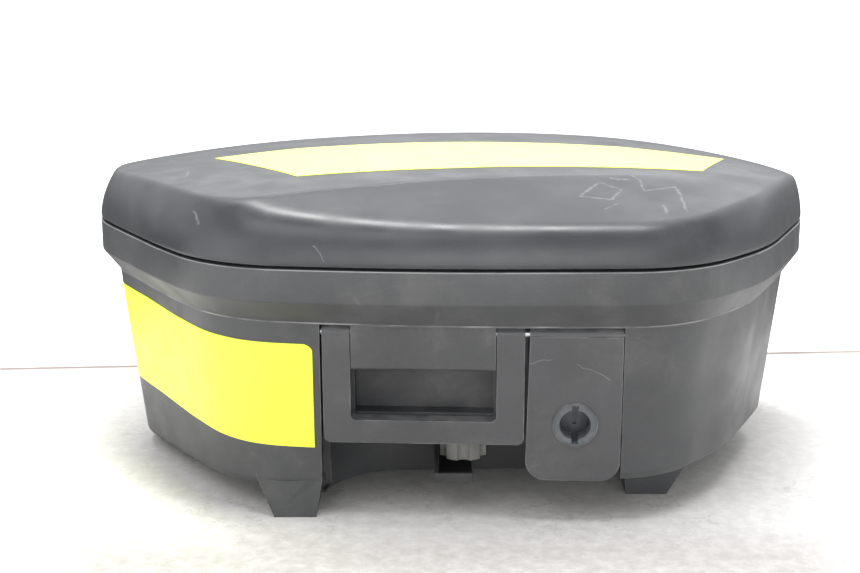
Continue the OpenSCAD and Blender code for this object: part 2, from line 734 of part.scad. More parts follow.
module clamp_knob() {
    dish = 5.2;
    color("#a9a9a6") translate([knob_xy.x, knob_xy.y, 0]) difference() {
        union() {
            translate([0, 0, knob_z[0]]) cylinder(h = knob_z[1] - knob_z[0], r = knob_r, $fn = 72);
            translate([0, 0, knob_z[1] - 1]) cylinder(h = 5, r = 8, $fn = bore_fn);
        }
        for (i = [0:flutes - 1]) rotate([0, 0, (i + 0.5) * 360 / flutes])
            translate([knob_r + 2.2, 0, 0]) cylinder(h = 100, r = dish, $fn = bore_fn);
        translate([0, 0, stud_z[0] - 0.1]) cylinder(h = 60, r = stud_r + 0.02, $fn = bore_fn);
    }
}

module knob_stud() {
    color(steel) translate([knob_xy.x, knob_xy.y, stud_z[0]])
        cylinder(h = stud_z[1] - stud_z[0], r = stud_r, $fn = bore_fn);
}

module stud_bush() {
    color("#c9a227") translate([knob_xy.x, knob_xy.y, 0]) difference() {
        union() {
            translate([0, 0, cavity_z - 3]) cylinder(h = 2.9, r = bush_r + 3, $fn = bore_fn);
            translate([0, 0, cavity_z - 3]) cylinder(h = wall + 5.5, r = bush_r, $fn = bore_fn);
        }
        cylinder(h = 100, r = stud_r + turn, $fn = bore_fn);
    }
}

module rack_hook() {
    l = hook_x - hook_w / 2;
    r = hook_x + hook_w / 2;
    lip = 7;
    cheek = 27;
    color("#101112") {
        side(l, r) polygon([[hook_front, hook_z], [shank_y + hook_t, hook_z],
            [shank_y + hook_t, nut_z[1]], [shank_y, nut_z[1]], [shank_y, hook_z + hook_t],
            [hook_front + hook_t, hook_z + hook_t], [hook_front + hook_t, hook_z + lip],
            [hook_front, hook_z + lip]]);
        side(l, l + 3) polygon([[hook_front, hook_z], [shank_y + 1, hook_z],
            [shank_y + 1, hook_z + cheek], [shank_y - 14, hook_z + cheek], [hook_front, hook_z + lip]]);
    }
}

module hook_nut() {
    color(steel) difference() {
        box([knob_xy.x - 9, knob_xy.y - 7, nut_z[0]], [knob_xy.x + 6, shank_y - 0.05, nut_z[1]]);
        translate([knob_xy.x, knob_xy.y, 0]) cylinder(h = 120, r = stud_r + turn, $fn = bore_fn);
    }
}

function tongue_holes() = [[-10, 142], [10, 142]];
tongue_top = channel[1].z - gap;
module rack_tongues() {
    t = 4;
    neck = tongue_y[0] + 16;
    color(part_grey) for (x = tongue_x) difference() {
        side(x - tongue_w / 2, x + tongue_w / 2) polygon([
            [neck, tongue_top], [neck, tongue_z[1]], [tongue_y[0], tongue_z[1]],
            [tongue_y[0], tongue_z[0]], [neck + t, tongue_z[0]], [neck + t, tongue_top - t],
            [tongue_y[1], tongue_top - t], [tongue_y[1], tongue_top]]);
        for (p = tongue_holes()) translate([x + p.x, p.y, 0])
            cylinder(h = 60, r = 2.1, $fn = bore_fn);
    }
}

module tongue_screws() {
    color(steel) for (x = tongue_x, p = tongue_holes())
        translate([x + p.x, p.y, tongue_top - 4.1]) screw(2, 7);
}

sticker_rise = [0.1, 0.6];                 // underside and face above the surface
module lid_sticker() {
    color(lemon) resize([0, 0, 0]) intersection() {
        difference() {
            translate([0, 0, sticker_rise[1]]) crown();
            translate([0, 0, sticker_rise[0]]) crown();
        }
        translate([0, 0, 150]) linear_extrude(120)
            polygon([[-178, -3], [-107, -100], [-6, -89], [96, -72], [187, -53], [216, 18],
                     [137, 32], [-13, 22], [-115, 14]]);
    }
}

module side_sticker() {
    film_z = [58, 133];                    // lower and upper edge on the flank
    drop = 4.5;                            // how far both run down to the front end
    front_y = -170;
    color(lemon) resize([0, 0, 0]) intersection() {
        difference() {
            tub_outside(sticker_rise[1]);
            tub_outside(sticker_rise[0]);
        }
        side(-320, bay_l - 2) polygon([
            [front_y - 30, film_z[0] - drop], [front_y, film_z[0] - drop], [-60, film_z[0]],
            [70, film_z[0]], [70, film_z[1]], [-60, film_z[1]],
            [front_y, film_z[1] - drop], [front_y - 30, film_z[1] - drop]]);
    }
}

base_shell();
handle_tray();
tray_screws();
cover_plate();
carry_handle();
pivot_rod();
handle_spring();
release_flap();
flap_spring();
lock_ring();
lock_cam();
latch_housing();
latch_bolt();
latch_spring();
latch_screws();
latch_cover();
cover_screws();
lid_shell();
lid_seal();
lid_catch();
catch_screws();
hinge_base_leaves();
hinge_lid_leaves();
hinge_pins();
hinge_base_screws();
hinge_lid_screws();
clamp_knob();
knob_stud();
stud_bush();
rack_hook();
hook_nut();
rack_tongues();
tongue_screws();
lid_sticker();
side_sticker();
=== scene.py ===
"""Looks of the top case: smooth skins for tub and lid, reflective films, worn plastics and
metals, and a plain pale studio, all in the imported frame. Lengths here are in millimetres."""

import json
import math

import bmesh
import bpy
from mathutils import Matrix, Vector


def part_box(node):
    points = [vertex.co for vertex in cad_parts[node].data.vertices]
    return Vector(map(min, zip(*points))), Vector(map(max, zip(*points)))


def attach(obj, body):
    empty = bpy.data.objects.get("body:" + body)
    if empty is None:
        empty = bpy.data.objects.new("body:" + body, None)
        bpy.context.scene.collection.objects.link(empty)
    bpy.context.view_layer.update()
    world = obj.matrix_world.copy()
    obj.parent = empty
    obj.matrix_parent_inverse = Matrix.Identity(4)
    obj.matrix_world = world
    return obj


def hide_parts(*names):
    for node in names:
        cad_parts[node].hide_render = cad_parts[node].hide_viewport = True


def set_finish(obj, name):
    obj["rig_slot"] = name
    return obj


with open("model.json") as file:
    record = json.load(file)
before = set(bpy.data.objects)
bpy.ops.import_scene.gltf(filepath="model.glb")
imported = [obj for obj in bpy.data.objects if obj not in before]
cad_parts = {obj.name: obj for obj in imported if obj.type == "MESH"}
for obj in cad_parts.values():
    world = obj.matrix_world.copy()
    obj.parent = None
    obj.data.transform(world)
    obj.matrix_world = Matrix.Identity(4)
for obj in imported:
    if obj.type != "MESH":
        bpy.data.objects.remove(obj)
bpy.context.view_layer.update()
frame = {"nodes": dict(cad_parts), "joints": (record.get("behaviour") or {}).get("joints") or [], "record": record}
NODES = frame["nodes"]
RECORD = frame["record"]
JOINTS = {j["name"]: j for j in frame["joints"]}
MM = 0.001

# ---------------------------------------------------------------- driving sizes

# Tub: heights, and insets measured inwards from the rim's outline
RIM_Z = 184.0
BAND_Z = 161.0  # lower edge of the rim band
WALL_TOP_Z = 144.0  # foot of the chamfer under the band
BAND_OUT = 12.5  # how far the band stands out from the wall
TWIST = 0.025  # change of that along the front, per millimetre
TWIST_X = 15.0  # where the front's value is BAND_OUT
DRAFT = 7.0  # lean of the wall in degrees
FRONT_DRAFT = 3.0
WALL = 3.5
LIP_IN = (8.5, 11.5)  # both faces of the lip that enters the seal
LIP_Z = 191.0
BELLY_Z = 17.5  # height of the lower edge at the origin
BELLY_TILT = (0.0375, -0.055)  # its rise per millimetre along x and y
BELLY_EDGE = 5.0  # height and width of the bevel along the lower edge
BELLY_IN = 4.0
PROFILE_END = 40.0  # how far a profile runs in under the belly

# Lid: shell, crowned panel, and the two facets that cut it
LID_Z = 186.0
LID_T = 3.0
LID_LEAN = 12.0
LID_TOP_Z = 220.0
CROWN_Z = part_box("lid_shell")[1].z / MM
CROWN_BEND = 2.72e-4
CROWN_AT = (1.0, 10.0)
FRONT_DROP = 24.5  # from the crown down to the front facet at FRONT_Y
FRONT_Y = -178.0
FRONT_SLOPE = 0.352
FRONT_TWIST = 0.0012
REAR_DROP = 8.1  # from the crown down to the rear facet at REAR_AT
REAR_AT = (30.0, 140.0)
REAR_SLOPE = 0.14
WEB_Z = (197.0, 199.5)  # ledge inside the lid that holds the seal
HINGE_X = 70.0
LEAF_LEAN = 15.5  # lean of the hinge leaves in degrees

FILM_T = 0.35


def belly(p):
    """Height of the tub's lower edge at a point of the plan."""
    return BELLY_Z + BELLY_TILT[0] * p[0] + BELLY_TILT[1] * p[1]


def facing_front(n):
    """1 where the normal n of the plan faces the front, falling to 0 at the sides."""
    return max(0.0, -n.y) ** 2


def wall_out(p, n):
    """Inset of the top of the wall at the rim's point p with the normal n."""
    return BAND_OUT - TWIST * (p.x - TWIST_X) * facing_front(n)


def wall_in(p, n, z):
    """Inset of the wall's outside at the height z."""
    draft = math.radians(mix(DRAFT, FRONT_DRAFT, facing_front(n)))
    return wall_out(p, n) + (WALL_TOP_Z - z) * math.tan(draft)


# ---------------------------------------------------------------- plan outline


def hull(points):
    """Convex outline of points in the plan, anticlockwise."""
    points = sorted(set(points))

    def half(row):
        out = []
        for p in row:
            while len(out) > 1 and (
                (out[-1][0] - out[-2][0]) * (p[1] - out[-2][1])
                - (out[-1][1] - out[-2][1]) * (p[0] - out[-2][0])
            ) <= 0.3:
                out.pop()
            out.append(p)
        return out[:-1]

    return [Vector(p) for p in half(points) + half(points[::-1])]


def softened(points):
    """One round of corner cutting on a closed outline."""
    out = []
    for a, b in zip(points, points[1:] + points[:1]):
        out += [a.lerp(b, 0.25), a.lerp(b, 0.75)]
    return out


def filled(points, step):
    """The same closed outline with no edge longer than step."""
    out = []
    for a, b in zip(points, points[1:] + points[:1]):
        n = max(1, math.ceil((b - a).length / step))
        out += [a.lerp(b, k / n) for k in range(n)]
    return out


def normals(points):
    """Outward normals of a closed anticlockwise outline."""
    out = []
    for a, b, c in zip(points[-1:] + points[:-1], points, points[1:] + points[:1]):
        u = (b - a).normalized() + (c - b).normalized()
        out.append(Vector((u.y, -u.x)).normalized())
    return out


PLAN_STEP = 6
BASE_POINTS = [(round(v.co.x / MM, 2), round(v.co.y / MM, 2)) for v in NODES["base_shell"].data.vertices]
PLAN = filled(softened(softened(hull(BASE_POINTS))), PLAN_STEP)
PLAN_N = normals(PLAN)
CENTRE = Vector((1.0, 8.0))


def inset(d):
    """The rim's outline moved inwards by d."""
    return [p - n * d for p, n in zip(PLAN, PLAN_N)]


def smin(a, b, k):
    """The smaller of a and b, with the corner between them rounded over k."""
    h = max(k - abs(a - b), 0.0) / k
    return min(a, b) - h * h * k / 4


def mix(a, b, t):
    return a + (b - a) * t


def ramp(x, a, b):
    """Smooth step from 0 at a to 1 at b."""
    t = min(1.0, max(0.0, (x - a) / (b - a)))
    return t * t * (3 - 2 * t)


# ---------------------------------------------------------------- mesh helpers


def new_object(name, verts, faces):
    """Mesh object from vertices in millimetres."""
    mesh = bpy.data.meshes.new(name)
    mesh.from_pydata([v * MM for v in verts], [], faces)
    mesh.update()
    obj = bpy.data.objects.new(name, mesh)
    bpy.context.scene.collection.objects.link(obj)
    return obj


def tube(name, rows, ring=False):
    """Object through closed rows of points; ring joins the last row to the first."""
    n, m = len(rows[0]), len(rows)
    faces = []
    for i in range(m if ring else m - 1):
        for j in range(n):
            a, b = i * n, ((i + 1) % m) * n
            faces.append((a + j, a + (j + 1) % n, b + (j + 1) % n, b + j))
    if not ring:
        faces += [tuple(reversed(range(n))), tuple((m - 1) * n + j for j in range(n))]
    return new_object(name, [p for row in rows for p in row], faces)


def block(name, low, high, to=Matrix.Identity(4)):
    """Box between two opposite corners."""
    xs, ys, zs = zip(low, high)
    verts = [to @ Vector((x, y, z)) for z in zs for y in ys for x in xs]
    faces = [(0, 2, 3, 1), (4, 5, 7, 6), (0, 1, 5, 4), (2, 6, 7, 3), (0, 4, 6, 2), (1, 3, 7, 5)]
    return new_object(name, verts, faces)


def prism(name, outline, z0, z1, to=Matrix.Identity(4)):
    """Upright prism over an anticlockwise outline."""
    rows = [[to @ Vector((p[0], p[1], z)) for p in outline] for z in (z0, z1)]
    return tube(name, rows)


def carve(obj, other, how="DIFFERENCE"):
    """Applies a boolean with other, which is then deleted."""
    mod = obj.modifiers.new("cut", "BOOLEAN")
    mod.operation = how
    mod.solver = "EXACT"
    mod.object = other
    apply_modifiers(obj)
    bpy.data.objects.remove(other)


def apply_modifiers(obj):
    """Replaces the object's mesh by the evaluated one."""
    bpy.context.view_layer.update()
    shape = obj.evaluated_get(bpy.context.evaluated_depsgraph_get())
    mesh = bpy.data.meshes.new_from_object(shape)
    obj.modifiers.clear()
    obj.data = mesh


def weld(obj):
    """Joins the vertices that the CAD mesh holds twice."""
    obj.modifiers.new("weld", "WELD").merge_threshold = 2e-6


def soften(obj, width, angle=35, segments=2):
    """Welds a mesh, rounds its sharp edges and shades it smooth."""
    weld(obj)
    bevel = obj.modifiers.new("edge", "BEVEL")
    bevel.width = width * MM
    bevel.segments = segments
    bevel.limit_method = "ANGLE"
    bevel.angle_limit = math.radians(angle)
    bevel.harden_normals = False
    bevel.use_clamp_overlap = True
    smooth(obj)


def smooth(obj):
    """Smooth shading that keeps flat faces flat."""
    for poly in obj.data.polygons:
        poly.use_smooth = True
    normal = obj.modifiers.new("normals", "WEIGHTED_NORMAL")
    normal.keep_sharp = False


def smooth_by_angle(obj, angle):
    """Smooth shading, with edges sharper than angle kept crisp in the mesh itself."""
    obj.data.shade_smooth()
    obj.data.set_sharp_from_angle(angle=math.radians(angle))


# ---------------------------------------------------------------- lid


def crown(x, y):
    return CROWN_Z - CROWN_BEND * ((x - CROWN_AT[0]) ** 2 + (y - CROWN_AT[1]) ** 2)


def lid_height(x, y):
    """Height of the lid's panels: crown, front facet and rear facet with crisp creases."""
    front = CROWN_Z - FRONT_DROP + (FRONT_SLOPE - FRONT_TWIST * x) * (y - FRONT_Y)
    slope = REAR_SLOPE - (1.2e-6 if x > 0 else 0.6e-6) * x * x
    bend = 3.9e-4 if x > REAR_AT[0] else 2.6e-4
    rear = CROWN_Z - REAR_DROP - bend * (x - REAR_AT[0]) ** 2 + slope * (REAR_AT[1] - y)
    return smin(smin(crown(x, y), front, 0.9), rear, 1.0)


def lid_wall(x, e):
    """Height of the lid's wall at the inset e; it is steeper to the right."""
    right = max(0.0, x / 275)
    lean = LID_LEAN * (1 - 0.4 * right * right)
    return LID_Z + (LID_TOP_Z - LID_Z) * (max(e, 0.0) / lean) ** (1 / 1.8)


def edge_ease(n):
    """How far the wall rolls over into the panels, by the side that faces n."""
    left = ramp(-n.x, 0.35, 0.8)
    right = ramp(n.x, 0.3, 0.8)
    rear = ramp(n.y, 0.3, 0.8)
    return mix(mix(mix(9.5, 6, right), 3.2, left), 5, rear * (1 - left))


def lid_rows(t):
    """Rows of the lid's surface from its lower edge to the crown, t inside the outer one."""
    steps = [0.04, 0.15, 0.4, 0.8, 1.4, 2.1, 3, 4, 5.1, 6.3, 7.5, 8.7, 9.9, 11.1, 12.3, 13.5, 14.8,
             16.2, 17.8, 19.6, 21.6, 24, 27, 30]
    rows = []
    for e in steps:
        row = []
        for p, n in zip(inset(e + t), PLAN_N):
            z = smin(lid_wall(p.x, e), lid_height(p.x, p.y) - t, edge_ease(n))
            row.append(Vector((p.x, p.y, max(z, LID_Z + 0.9))))
        rows.append(row)
    last = inset(steps[-1] + t)
    rings = 56 if t == 0 else 24
    for k in range(1, rings + 1):
        s = 1 - k / (rings + 0.6)
        row = []
        for p in last:
            q = CENTRE + (p - CENTRE) * s
            row.append(Vector((q.x, q.y, lid_height(q.x, q.y) - t)))
        rows.append(row)
    return rows


def flat_row(d, z):
    return [Vector((p.x, p.y, z)) for p in inset(d)]


def hinge_pad(x, edge):
    """Wedge on the lid's rear wall that a leaning hinge leaf lies on."""
    on_leaf = Matrix.Translation((x, edge + 1.6, LID_Z)) @ Matrix.Rotation(math.radians(LEAF_LEAN), 4, "X")
    pad = block("hinge_pad", (-33, -6, 3), (33, 0, 24), on_leaf)
    carve(pad, block("slot", (x - 60, edge - 60, LID_Z - 9), (x + 60, edge + 60, LID_Z + 1)))
    return pad


def build_lid():
    inner = lid_rows(LID_T)[::-1]
    foot = [flat_row(LID_T, LID_Z), flat_row(1.0, LID_Z), flat_row(0.3, LID_Z + 0.25)]
    lid = tube("lid_skin", inner + foot + lid_rows(0.0))
    low_z, high_z = WEB_Z
    profile = ((15, low_z), (15, high_z), (3.2, high_z), (3.2, low_z))
    web = tube("web", [flat_row(d, z) for d, z in profile], ring=True)
    low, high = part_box("lid_catch")
    mid = (low.x + high.x) / 2 / MM
    catch_pad = block("catch_pad", (mid - 26, -177, low_z), (mid + 26, -147, high_z))
    edge = max(p.y for p in PLAN)
    for other in (hinge_pad(-HINGE_X, edge), hinge_pad(HINGE_X, edge), web, catch_pad):
        carve(lid, other, "UNION")
    smooth_by_angle(lid, 32)
    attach(lid, "lid")
    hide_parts("lid_shell")
    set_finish(lid, "lid_plastic")
    return lid


# ---------------------------------------------------------------- tub


def arc_path(points, radii, steps=4):
    """Path in inset and height whose corners are rounded to the radii."""
    out = [Vector(points[0])]
    for a, b, c, r in zip(points, points[1:], points[2:], radii):
        a, b, c = Vector(a), Vector(b), Vector(c)
        u, v = (a - b).normalized(), (c - b).normalized()
        half = math.acos(max(-1.0, min(1.0, u.dot(v)))) / 2
        reach = min(r / math.tan(half), 0.45 * (a - b).length, 0.45 * (c - b).length)
        p, q = b + u * reach, b + v * reach
        for k in range(steps + 1):
            t = k / steps
            out.append(p * (1 - t) ** 2 + b * 2 * t * (1 - t) + q * t * t)
    out.append(Vector(points[-1]))
    return out


def lower_path(p, n, thick):
    """Corners of the tub's profile from the belly up to the band, moved in by thick."""
    z = belly(p) + thick
    foot = wall_in(p, n, z + BELLY_EDGE) + thick
    return [(foot + PROFILE_END, z), (foot + BELLY_IN, z), (foot, z + BELLY_EDGE),
            (wall_out(p, n) + thick, WALL_TOP_Z), (thick, BAND_Z)]


def outer_path(p, n):
    """Profile of the tub's outside, up to the top of its lip."""
    lip = [(0, RIM_Z), (LIP_IN[0], RIM_Z), (LIP_IN[0], LIP_Z), (LIP_IN[1], LIP_Z)]
    return arc_path(lower_path(p, n, 0.0) + lip, [3, 6, 3.5, 3, 1.6, 0.4, 0.8], 4)


def inner_path(p, n):
    """Profile of the luggage space, which runs on past the top of the lip."""
    under, over = RIM_Z - 4, LIP_Z + 2
    lip = [(WALL, under), (LIP_IN[1], under), (LIP_IN[1], over), (LIP_IN[1] + 1, over)]
    return arc_path(lower_path(p, n, WALL) + lip, [3, 3, 5, 2, 0.6, 0.5, 0.3], 3)


def swept(name, path):
    """Closed solid whose profile path(p, n) runs round the plan."""
    columns = [path(p, n) for p, n in zip(PLAN, PLAN_N)]
    rows = []
    for k in range(len(columns[0])):
        rows.append([Vector((*(p - n * c[k].x), c[k].y)) for p, n, c in zip(PLAN, PLAN_N, columns)])
    return tube(name, rows)


PIVOT_IN = 6.5  # the handle's axis, behind the recess plane and below the recess's top
PIVOT_DROP = 6.8


def wall_frame():
    """Matrix of the recess plane: x along the wall, y into it, z up from the recess's top."""
    x = -Vector(JOINTS["handle_hinge"]["axis"])
    y = Vector(JOINTS["lock_turn"]["axis"])
    z = x.cross(y)
    pivot = Vector(JOINTS["handle_hinge"]["pos_m"]) / MM
    to = Matrix((x, y, z)).transposed().to_4x4()
    to.translation = pivot - y * PIVOT_IN + z * PIVOT_DROP
    return to


ON_WALL = wall_frame()


def frustum(name, low, top, z1):
    """Solid from the ground face low to the outline top at the height z1."""
    rows = [(low, 0.0), (low, 1.0), (top, z1)]
    return tube(name, [[Vector((p[0], p[1], z)) for p in outline] for outline, z in rows])


def corners(a, b):
    """Rectangle between two opposite corners, anticlockwise."""
    return [(a[0], a[1]), (b[0], a[1]), (b[0], b[1]), (a[0], b[1])]


def front_wall(x, z):
    """Y of the outside of the front wall at x and z."""
    best = min(range(len(PLAN)), key=lambda i: abs(PLAN[i].x - x) if PLAN_N[i].y < -0.3 else 1e9)
    p, n = PLAN[best], PLAN_N[best]
    at = p - n * wall_in(p, n, z)
    return at.y - (x - at.x) * n.x / n.y


# Two corners of each foot's top, then two of its ground face; the left front one comes first
FEET = [
    ((-132, -159.2), (-92, -112), (-123, -159.2), (-93, -120)),
    ((127, -118), (176, -66), (130, -114.5), (160, -76)),
    ((-236, 20), (-190, 84), (-238, 30), (-206, 78)),
    ((190, 20), (236, 84), (208, 42), (240, 78)),
]
BAY_X = (-88.4, 117.8)  # both sides of the recess for handle and flap
TRAY_FRONT = 4.0  # depth of the recess in front of the tray
RECESS_EDGE = 2.55  # how far the tray's seat is wider than the recess
CHANNEL = ((-140.0, -60.0, -1.0), (140.0, 175.0, 26.0))  # room for a rack under the tub
CAVITY_Y = -100.0  # rear wall of the hollow for knob and hook
CAVITY_Z = 57.5
CAVITY_BEND = 55.0
SKIRT_Z = 12.6  # lower edge of that rear wall at its left end
SKIRT_SLOPE = 0.014
ARC_STEPS = 16


def cavity_arc(radius, count):
    """The first points of a quarter circle from the hollow's rear wall round to its left side."""
    x, y = BAY_X[0] + CAVITY_BEND, CAVITY_Y - CAVITY_BEND
    turns = (math.radians(90 * k / ARC_STEPS) for k in range(count))
    return [(x - radius * math.sin(a), y + radius * math.cos(a)) for a in turns]


def add_feet(tub):
    for i, (top_a, top_b, low_a, low_b) in enumerate(FEET):
        height = belly(((top_a[0] + top_b[0]) / 2, (top_a[1] + top_b[1]) / 2)) + 3
        top = corners(top_a, top_b)
        if i == 0:
            # This foot grows out of the front wall's face, up to the bay's side
            height += 6
            side = BAY_X[0] + 0.2
            top[:2] = [(x, front_wall(x, height) + 0.25) for x in (top_a[0] - 4, side)]
            top[2] = (side, top_b[1])
        carve(tub, frustum("foot", corners(low_a, low_b), top, height), "UNION")


def skirt():
    """Lower part of the hollow's rear wall, which reaches below the belly."""
    right = BAY_X[1] + 1
    front = [(right, CAVITY_Y)] + cavity_arc(CAVITY_BEND, ARC_STEPS - 1)
    back = [(right, CAVITY_Y + WALL)] + cavity_arc(CAVITY_BEND + WALL, ARC_STEPS - 1)
    outline = front + back[::-1]
    foot = [Vector((x, y, SKIRT_Z + SKIRT_SLOPE * (x - BAY_X[0]))) for x, y in outline]
    return tube("skirt", [foot, [Vector((x, y, 31)) for x, y in outline]])


def build_tub():
    tub = swept("tub_skin", outer_path)
    space = swept("space", inner_path)
    x0, x1 = BAY_X
    low, high = CHANNEL
    carve(space, block("keep", (x0 - WALL, -300, 0), (x1 + WALL, CAVITY_Y + WALL, CAVITY_Z + WALL)))
    carve(space, block("keep", (low[0] - WALL, low[1] - WALL, low[2]), [c + WALL for c in high]))
    carve(tub, space)
    add_feet(tub)
    hollow = [(x0, -300), (x1, -300), (x1, CAVITY_Y)] + cavity_arc(CAVITY_BEND, ARC_STEPS + 1)
    carve(tub, prism("cavity", hollow, -1, CAVITY_Z))
    carve(tub, block("channel", low, high))
    carve(tub, skirt(), "UNION")
    carve(tub, block("mouth", (x0, -30, -130), (x1, TRAY_FRONT, 0), ON_WALL))
    seat = ((x0 - RECESS_EDGE, TRAY_FRONT - 0.15, -130), (x1 + RECESS_EDGE, 30, RECESS_EDGE))
    carve(tub, block("recess", *seat, ON_WALL))
    smooth_by_angle(tub, 28)
    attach(tub, "case_base")
    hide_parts("base_shell")
    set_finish(tub, "tub_plastic")
    return tub


# ---------------------------------------------------------------- films

# Corners of the lid's film, the edges of the tub's film, and where that one ends in front and at the side
LID_FILM = [
    (-178, -3), (-107, -100), (-6, -89), (96, -72), (187, -53),
    (216, 18), (137, 32), (-13, 22), (-115, 14),
]
LID_FILM_MID = Vector((10, -30))
SIDE_FILM_Z = (58.0, 133.0)
SIDE_FILM_DROP = 4.5
SIDE_FILM_END = (-93.3, 70.0)
SIDE_FILM_CORNER = 8.0


def build_lid_film():
    """Film on the lid's panels, as rings that shrink to its middle."""
    outline = filled([Vector(p) for p in LID_FILM], 5)
    rows = []
    for k in range(26):
        s = 1 - k / 25.5
        flat = [LID_FILM_MID + (p - LID_FILM_MID) * s for p in outline]
        rows.append([Vector((p.x, p.y, lid_height(p.x, p.y) + FILM_T)) for p in flat])
    under = [[p - Vector((0, 0, FILM_T - 0.06)) for p in row] for row in rows[::-1]]
    film = tube("lid_film", under + rows)
    smooth_by_angle(film, 40)
    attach(film, "lid")
    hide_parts("lid_sticker")
    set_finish(film, "yellow_film")
    return film


def side_film_path():
    """Points and normals of the plan from the film's front end to its end on the left side."""
    in_front = [i for i, p in enumerate(PLAN) if p.x < SIDE_FILM_END[0] and p.y < 0]
    start = max(in_front, key=lambda i: PLAN[i].x)
    path = []
    i = start
    while PLAN[i].y < SIDE_FILM_END[1]:
        path.append((PLAN[i], PLAN_N[i]))
        i = (i - 1) % len(PLAN)
    for _ in range(2):
        # Closer points near the front end, for the rounded corner
        fine = []
        for (p, n), (q, m) in zip(path[:4], path[1:5]):
            fine += [(p, n), ((p + q) / 2, (n + m).normalized())]
        path = fine + path[4:]
    return path


def side_film_column(at, n, s, out, steps):
    """Points up the film at the distance s from its front end, out from the wall."""
    low = -SIDE_FILM_DROP * min(1.0, max(0.0, (-60 - at.y) / 110))
    round_in = max(0.0, SIDE_FILM_CORNER - s)
    drop = SIDE_FILM_CORNER - math.sqrt(max(0.0, SIDE_FILM_CORNER ** 2 - round_in ** 2))
    column = []
    for k in range(steps + 1):
        z = mix(SIDE_FILM_Z[0] + low, SIDE_FILM_Z[1] + low - drop, k / steps)
        p = at - n * (wall_in(at, n, z) - out)
        if s == 0.0:
            p.x = SIDE_FILM_END[0]
        column.append(Vector((p.x, p.y, z)))
    return column


def build_side_film():
    """Film wrapped round the left front corner, with its upper front corner rounded."""
    path = side_film_path()
    lengths = [0.0]
    for (p, _n), (q, _m) in zip(path, path[1:]):
        lengths.append(lengths[-1] + (p - q).length)
    steps = 14
    verts, faces = [], []
    for out in (FILM_T, 0.05):
        for (at, n), s in zip(path, lengths):
            verts += side_film_column(at, n, s, out, steps)
    m, w = len(path), steps + 1
    size = m * w
    for a in range(m - 1):
        for b in range(steps):
            q = [a * w + b, a * w + b + 1, (a + 1) * w + b + 1, (a + 1) * w + b]
            faces.append(tuple(q))
            faces.append(tuple(size + k for k in reversed(q)))
    border = ([a * w for a in range(m)] + [(m - 1) * w + b for b in range(1, w)]
              + [a * w + steps for a in range(m - 2, -1, -1)] + [b for b in range(steps - 1, 0, -1)])
    for p, q in zip(border, border[1:] + border[:1]):
        faces.append((p, q, size + q, size + p))
    film = new_object("side_film", verts, faces)
    bm = bmesh.new()
    bm.from_mesh(film.data)
    bmesh.ops.recalc_face_normals(bm, faces=bm.faces)
    bm.to_mesh(film.data)
    bm.free()
    smooth_by_angle(film, 40)
    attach(film, "case_base")
    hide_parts("side_sticker")
    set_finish(film, "yellow_film")
    return film


# ---------------------------------------------------------------- materials


